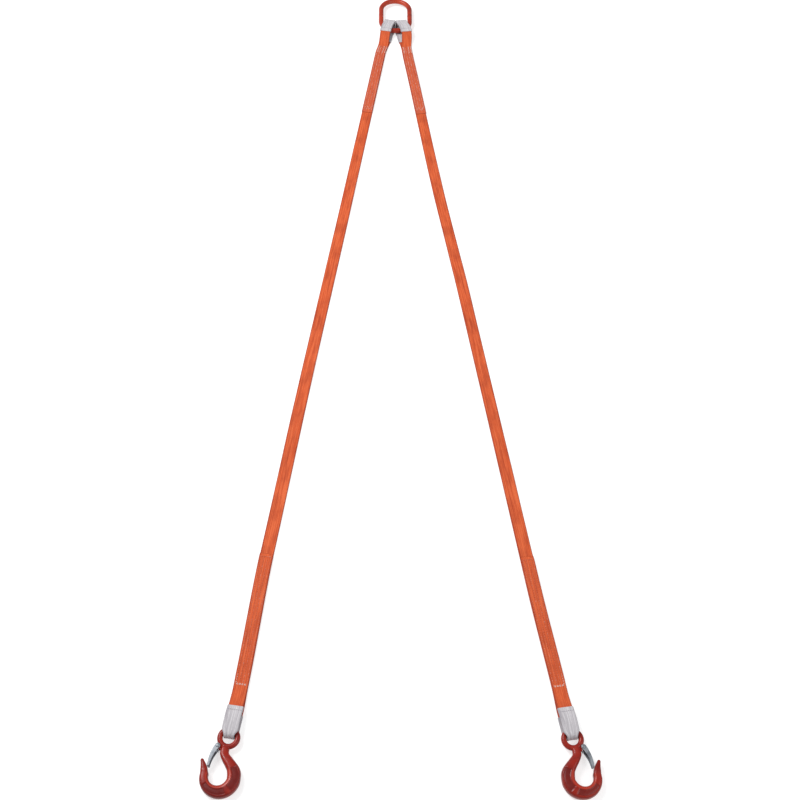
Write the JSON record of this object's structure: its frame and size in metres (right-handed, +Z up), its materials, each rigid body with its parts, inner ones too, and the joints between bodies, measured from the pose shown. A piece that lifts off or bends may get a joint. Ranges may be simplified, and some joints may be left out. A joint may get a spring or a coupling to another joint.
{
  "type": "two-leg flat web sling with hooks",
  "caption": "Flat web lifting sling: an oblong master link, two sewn webbing legs with sleeved eyes, and a latched eye hook on each leg.",
  "frame": {"origin": "middle of the footprint, on the floor that the sling lies on", "axes": "+Y towards the master link, +Z up, +X to the right seen from above with the link at the far end"},
  "size_m": [0.653, 2.0272, 0.023],
  "materials": {
    "red_paint": "red enamel on forged and bent steel, semi-gloss",
    "orange_webbing": "orange woven polyester webbing, faint ribs along its length",
    "sleeve_cloth": "pale grey woven wear sleeve",
    "sewing_thread": "pale bonded thread",
    "zinc_plate": "zinc plated pressed steel",
    "spring_steel": "bright drawn wire"
  },
  "bodies": {
    "link": {"master_link": "red_paint"},
    "left_upper_eye": {"left_upper_eye_web": "orange_webbing", "left_upper_eye_sleeve": "sleeve_cloth"},
    "left_upper_leg": {"left_upper_leg_web": "orange_webbing", "left_upper_splice_tail": "orange_webbing", "left_upper_splice_stitching": "sewing_thread"},
    "left_lower_leg": {"left_lower_leg_web": "orange_webbing", "left_lower_splice_tail": "orange_webbing", "left_lower_splice_stitching": "sewing_thread"},
    "left_lower_eye": {"left_lower_eye_web": "orange_webbing", "left_lower_eye_sleeve": "sleeve_cloth"},
    "left_hook": {"left_hook": "red_paint", "left_latch_rivet": "zinc_plate", "left_latch_spring": "spring_steel"},
    "left_latch": {"left_latch": "zinc_plate"},
    "right_upper_eye": {"right_upper_eye_web": "orange_webbing", "right_upper_eye_sleeve": "sleeve_cloth"},
    "right_upper_leg": {"right_upper_leg_web": "orange_webbing", "right_upper_splice_tail": "orange_webbing", "right_upper_splice_stitching": "sewing_thread"},
    "right_lower_leg": {"right_lower_leg_web": "orange_webbing", "right_lower_splice_tail": "orange_webbing", "right_lower_splice_stitching": "sewing_thread"},
    "right_lower_eye": {"right_lower_eye_web": "orange_webbing", "right_lower_eye_sleeve": "sleeve_cloth"},
    "right_hook": {"right_hook": "red_paint", "right_latch_rivet": "zinc_plate", "right_latch_spring": "spring_steel"},
    "right_latch": {"right_latch": "zinc_plate"}
  },
  "joints": [
    {"name": "left_spread", "type": "hinge", "parent": "link", "child": "left_upper_eye", "pos_m": [0, 0.9266, 0.0115], "axis": [0, 0, -1], "range_deg": [0, 30]},
    {"name": "left_upper_flex", "type": "hinge", "parent": "left_upper_eye", "child": "left_upper_leg", "pos_m": [-0.02731, 0.8415, 0.003], "axis": [-0.9895, 0.1444, 0], "range_deg": [0, 75]},
    {"name": "left_fold", "type": "hinge", "parent": "left_upper_leg", "child": "left_lower_leg", "pos_m": [-0.1493, 0.00535, 0.0015], "axis": [0.9895, -0.1444, 0], "range_deg": [-80, 0]},
    {"name": "left_lower_flex", "type": "hinge", "parent": "left_lower_leg", "child": "left_lower_eye", "pos_m": [-0.27113, -0.82981, 0.003], "axis": [-0.9895, 0.1444, 0], "range_deg": [0, 75]},
    {"name": "left_hook_swing", "type": "hinge", "parent": "left_lower_eye", "child": "left_hook", "pos_m": [-0.28355, -0.9149, 0.01], "axis": [0, 0, -1], "range_deg": [-45, 45]},
    {"name": "left_latch", "type": "hinge", "parent": "left_hook", "child": "left_latch", "pos_m": [-0.29998, -0.92917, 0.01], "axis": [0, 0, 1], "range_deg": [0, 40], "stiffness_Nm_per_rad": 0.03, "springref_deg": -22.92, "deforming": ["left_latch_spring"]},
    {"name": "right_spread", "type": "hinge", "parent": "link", "child": "right_upper_eye", "pos_m": [0, 0.9266, 0.0115], "axis": [0, 0, 1], "range_deg": [0, 30]},
    {"name": "right_upper_flex", "type": "hinge", "parent": "right_upper_eye", "child": "right_upper_leg", "pos_m": [0.02731, 0.8415, 0.003], "axis": [-0.9895, -0.1444, 0], "range_deg": [0, 75]},
    {"name": "right_fold", "type": "hinge", "parent": "right_upper_leg", "child": "right_lower_leg", "pos_m": [0.1493, 0.00535, 0.0015], "axis": [0.9895, 0.1444, 0], "range_deg": [-80, 0]},
    {"name": "right_lower_flex", "type": "hinge", "parent": "right_lower_leg", "child": "right_lower_eye", "pos_m": [0.27113, -0.82981, 0.003], "axis": [-0.9895, -0.1444, 0], "range_deg": [0, 75]},
    {"name": "right_hook_swing", "type": "hinge", "parent": "right_lower_eye", "child": "right_hook", "pos_m": [0.28355, -0.9149, 0.01], "axis": [0, 0, 1], "range_deg": [-45, 45]},
    {"name": "right_latch", "type": "hinge", "parent": "right_hook", "child": "right_latch", "pos_m": [0.29998, -0.92917, 0.01], "axis": [0, 0, -1], "range_deg": [0, 40], "stiffness_Nm_per_rad": 0.03, "springref_deg": -22.92, "deforming": ["right_latch_spring"]}
  ]
}
